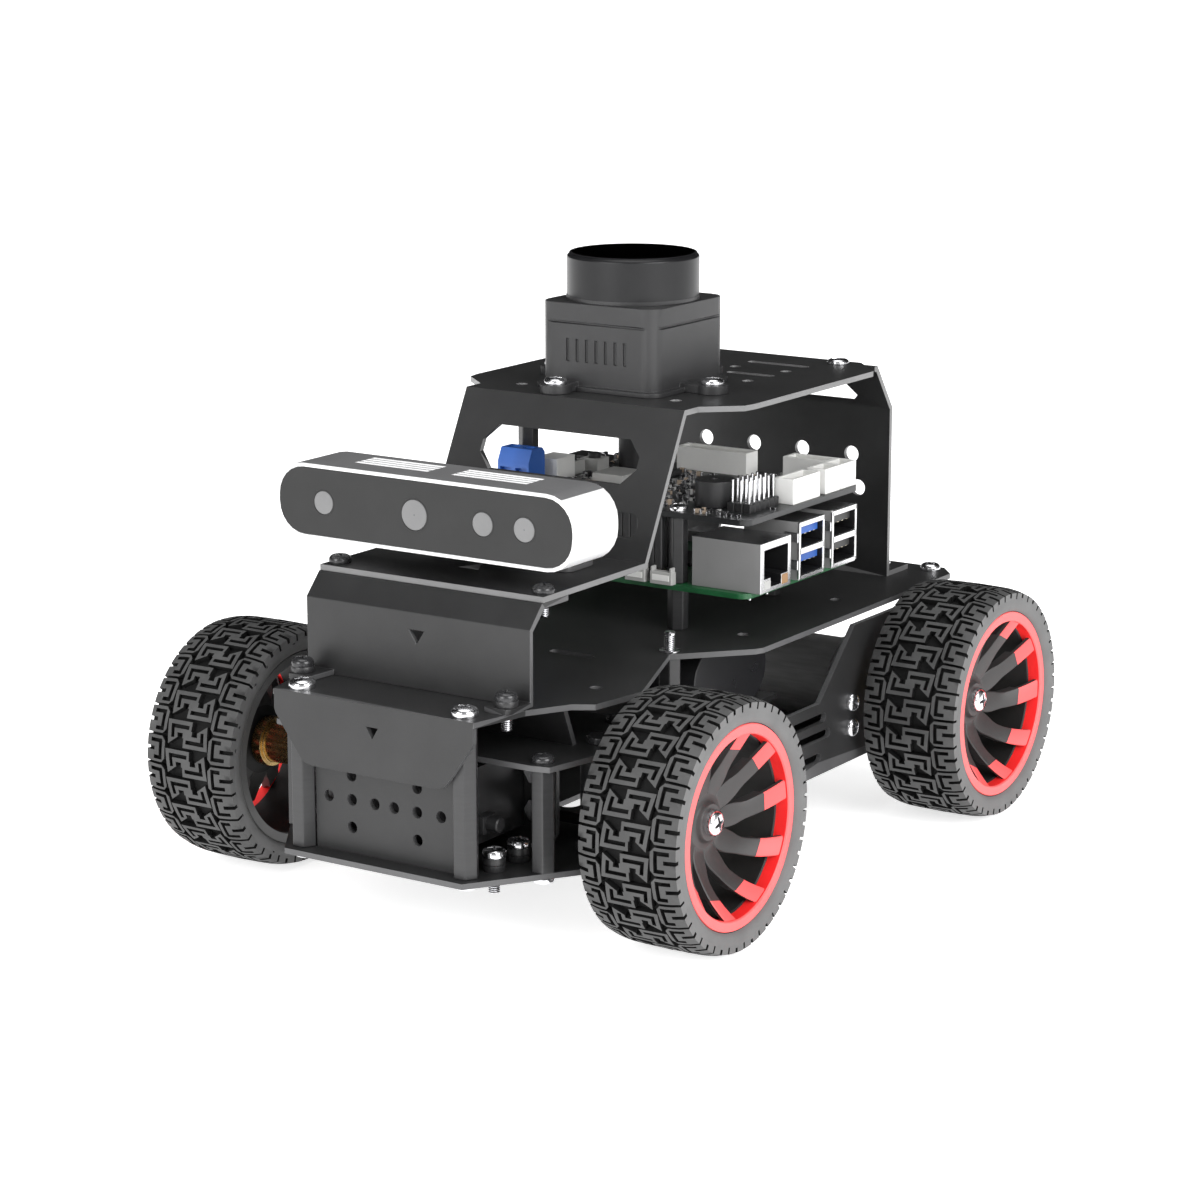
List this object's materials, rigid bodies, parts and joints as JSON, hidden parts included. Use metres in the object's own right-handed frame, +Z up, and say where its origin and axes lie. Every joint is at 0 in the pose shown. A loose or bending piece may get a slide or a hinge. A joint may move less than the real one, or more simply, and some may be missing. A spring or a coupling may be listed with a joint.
{
  "type": "four wheel robot chassis",
  "caption": "Sheet metal robot chassis with steered front wheels, geared rear drive, single-board computer, expansion board, depth camera and rotating range finder on the roof.",
  "frame": {"origin": "on the ground, midway between the front and rear ends of the body and on its centre line", "axes": "+X forward, +Y the car's left, +Z up"},
  "size_m": [0.2176, 0.1642, 0.1606],
  "materials": {
    "black_metal": "satin powder coat",
    "black_steel": "black oxide",
    "black_plastic": "moulded",
    "motor_metal": "plated",
    "green_board": "solder mask",
    "port_metal": "plated",
    "chip_plastic": "moulded",
    "black_board": "solder mask",
    "blue_plastic": "moulded",
    "white_plastic": "moulded",
    "lidar_plastic": "fine moulded",
    "rotor_plastic": "moulded",
    "camera_shell": "bead blasted",
    "camera_glass": "polished",
    "lens_glass": "polished",
    "steel": "zinc plated",
    "tyre_rubber": "matt moulded rubber",
    "rim_plastic": "moulded, red outer ring",
    "brass": "machined"
  },
  "bodies": {
    "chassis": {"bottom_chassis_plate": "black_metal", "steering_top_plate": "black_metal", "main_deck": "black_metal", "camera_bracket": "black_metal", "cabin_shell": "black_metal", "rear_panel": "black_metal", "grille_panel": "black_metal", "servo_bracket": "black_metal", "battery_tray": "black_metal", "camera_mount": "black_metal", "hood_posts": "black_steel", "deck_posts": "black_steel", "steering_posts": "black_steel", "kingpins": "black_steel", "black_screws": "black_steel", "board_standoffs": "black_steel", "servo_case": "black_plastic", "battery_pack": "black_plastic", "pin_headers": "black_plastic", "buzzer": "black_plastic", "drive_motor_left": "motor_metal", "drive_motor_right": "motor_metal", "computer_board": "green_board", "ethernet_jack": "port_metal", "usb_ports": "port_metal", "computer_chips": "chip_plastic", "board_components": "chip_plastic", "expansion_board": "black_board", "terminal_block": "blue_plastic", "white_connectors": "white_plastic", "button_bodies": "white_plastic", "lidar_base": "lidar_plastic", "lidar_window": "lidar_plastic", "depth_camera_body": "camera_shell", "camera_front_glass": "camera_glass", "camera_lenses": "lens_glass", "silver_screws": "steel"},
    "wheel_front_left": {"tyre_front_left": "tyre_rubber", "rim_front_left": "rim_plastic", "hub_front_left": "brass", "wheel_screw_front_left": "steel"},
    "wheel_front_right": {"tyre_front_right": "tyre_rubber", "rim_front_right": "rim_plastic", "hub_front_right": "brass", "wheel_screw_front_right": "steel"},
    "wheel_rear_left": {"tyre_rear_left": "tyre_rubber", "rim_rear_left": "rim_plastic", "hub_rear_left": "brass", "wheel_screw_rear_left": "steel"},
    "wheel_rear_right": {"tyre_rear_right": "tyre_rubber", "rim_rear_right": "rim_plastic", "hub_rear_right": "brass", "wheel_screw_rear_right": "steel"},
    "knuckle_l": {"knuckle_left": "black_plastic"},
    "knuckle_r": {"knuckle_right": "black_plastic"},
    "steering_link": {"tie_rod": "black_steel"},
    "horn": {"servo_horn": "black_plastic"},
    "scanner": {"lidar_rotor": "rotor_plastic"},
    "key_a": {"button_a": "black_plastic"},
    "key_b": {"button_b": "black_plastic"}
  },
  "joints": [
    {"name": "steer_left", "type": "hinge", "parent": "chassis", "child": "knuckle_l", "pos_m": [0.0663, 0.04, 0.0325], "axis": [0, 0, 1], "range_deg": [-24, 24]},
    {"name": "steer_right", "type": "hinge", "parent": "chassis", "child": "knuckle_r", "pos_m": [0.0663, -0.04, 0.0325], "axis": [0, 0, 1], "range_deg": [-24.2, 24.2]},
    {"name": "link_pivot", "type": "hinge", "parent": "knuckle_l", "child": "steering_link", "pos_m": [0.0553, 0.04, 0.0231], "axis": [0, 0, 1], "range_deg": [-24.2, 24.2]},
    {"name": "servo_turn", "type": "hinge", "parent": "chassis", "child": "horn", "pos_m": [0.0585, 0.01, 0.0343], "axis": [1, 0, 0], "range_deg": [-24.2, 24.2]},
    {"name": "spin_front_left", "type": "hinge", "parent": "knuckle_l", "child": "wheel_front_left", "pos_m": [0.0663, 0.068, 0.0325], "axis": [0, 1, 0], "continuous": true},
    {"name": "spin_front_right", "type": "hinge", "parent": "knuckle_r", "child": "wheel_front_right", "pos_m": [0.0663, -0.068, 0.0325], "axis": [0, 1, 0], "continuous": true},
    {"name": "spin_rear_left", "type": "hinge", "parent": "chassis", "child": "wheel_rear_left", "pos_m": [-0.076, 0.068, 0.0325], "axis": [0, 1, 0], "continuous": true},
    {"name": "spin_rear_right", "type": "hinge", "parent": "chassis", "child": "wheel_rear_right", "pos_m": [-0.076, -0.068, 0.0325], "axis": [0, 1, 0], "continuous": true},
    {"name": "scan", "type": "hinge", "parent": "chassis", "child": "scanner", "pos_m": [-0.0108, 0, 0.152], "axis": [0, 0, 1], "continuous": true},
    {"name": "press_a", "type": "slide", "parent": "chassis", "child": "key_a", "axis": [0, 0, -1], "range_m": [0, 0.0005], "stiffness_N_per_m": 200, "springref_m": -0.0006},
    {"name": "press_b", "type": "slide", "parent": "chassis", "child": "key_b", "axis": [0, 0, -1], "range_m": [0, 0.0005], "stiffness_N_per_m": 200, "springref_m": -0.0006}
  ],
  "couplings": [
    {"joint": "steer_right", "follows": "steer_left", "ratio": 1},
    {"joint": "link_pivot", "follows": "steer_left", "ratio": -1},
    {"joint": "servo_turn", "follows": "steer_left", "ratio": -1}
  ]
}
